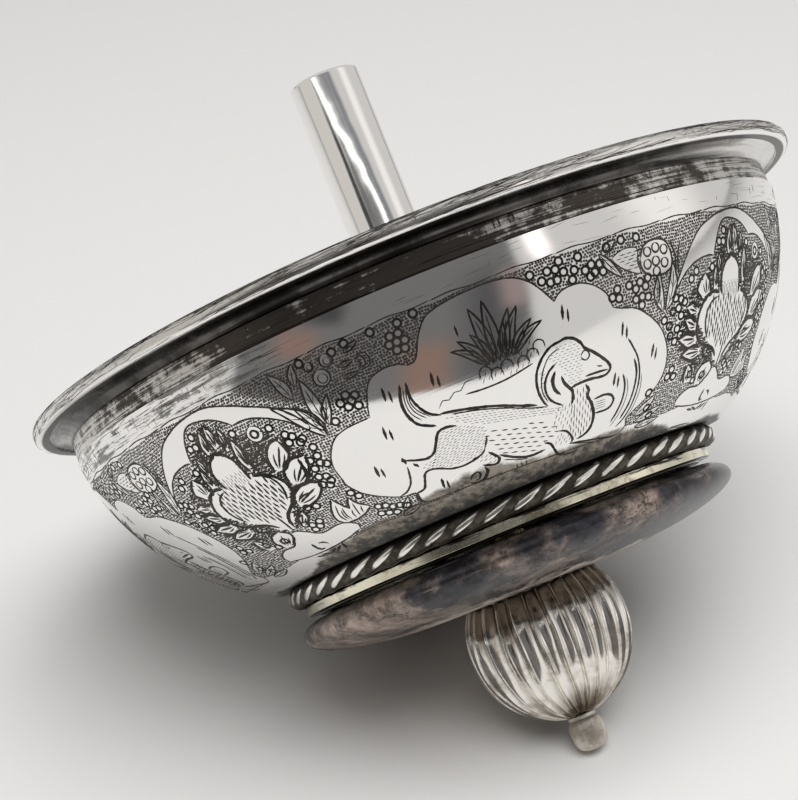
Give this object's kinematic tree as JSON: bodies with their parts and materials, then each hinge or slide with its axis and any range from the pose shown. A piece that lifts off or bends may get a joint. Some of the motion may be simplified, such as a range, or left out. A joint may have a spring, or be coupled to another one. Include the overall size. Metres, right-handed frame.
{
  "type": "engraved bowl section with stem and finial",
  "caption": "Round engraved metal bowl with a flared rim, central tube stem, twisted wire moulding, loose disc and a screw-on fluted melon finial below.",
  "frame": {"origin": "centre of the stem tube's open mouth", "axes": "+Z along the turning axis, out of the stem's mouth; the finial points to -Z; the engraved animal faces -Y"},
  "size_m": [0.098, 0.098, 0.0886],
  "materials": {
    "engraved_silver": "polished, with blackened engraving",
    "tarnished_silver": "grey tarnish over silver",
    "chased_silver": "chased with slanting lines",
    "twisted_silver": "worn bright on the lobes, dark between",
    "plain_silver": "plain, faintly yellow",
    "polished_silver": "polished",
    "rod_metal": "turned",
    "disc_metal": "mottled purple-grey tarnish",
    "matte_silver": "matte"
  },
  "bodies": {
    "bowl": {"bowl_shell": "engraved_silver", "neck_collar": "tarnished_silver", "rim_flange": "tarnished_silver", "rim_edge_wire": "chased_silver", "rope_moulding": "twisted_silver", "foot_ring": "plain_silver", "stem_tube": "polished_silver", "stem_foot_collar": "plain_silver", "stem_plug": "plain_silver", "tie_rod": "rod_metal"},
    "disc": {"finial_disc": "disc_metal"},
    "finial": {"melon_shell": "polished_silver", "melon_cap": "plain_silver", "finial_nut": "rod_metal", "tip_button": "matte_silver"}
  },
  "joints": [
    {"name": "disc_drop", "type": "slide", "parent": "bowl", "child": "disc", "axis": [0, 0, -1], "range_m": [0, 0.006]},
    {"name": "finial_turn", "type": "hinge", "parent": "disc", "child": "finial", "pos_m": [0, 0, -0.0736], "axis": [0, 0, -1], "range_deg": [0, 2160]}
  ],
  "couplings": [
    {"joint": "finial_turn", "follows": "disc_drop", "rad_per_m": 6283.2}
  ]
}
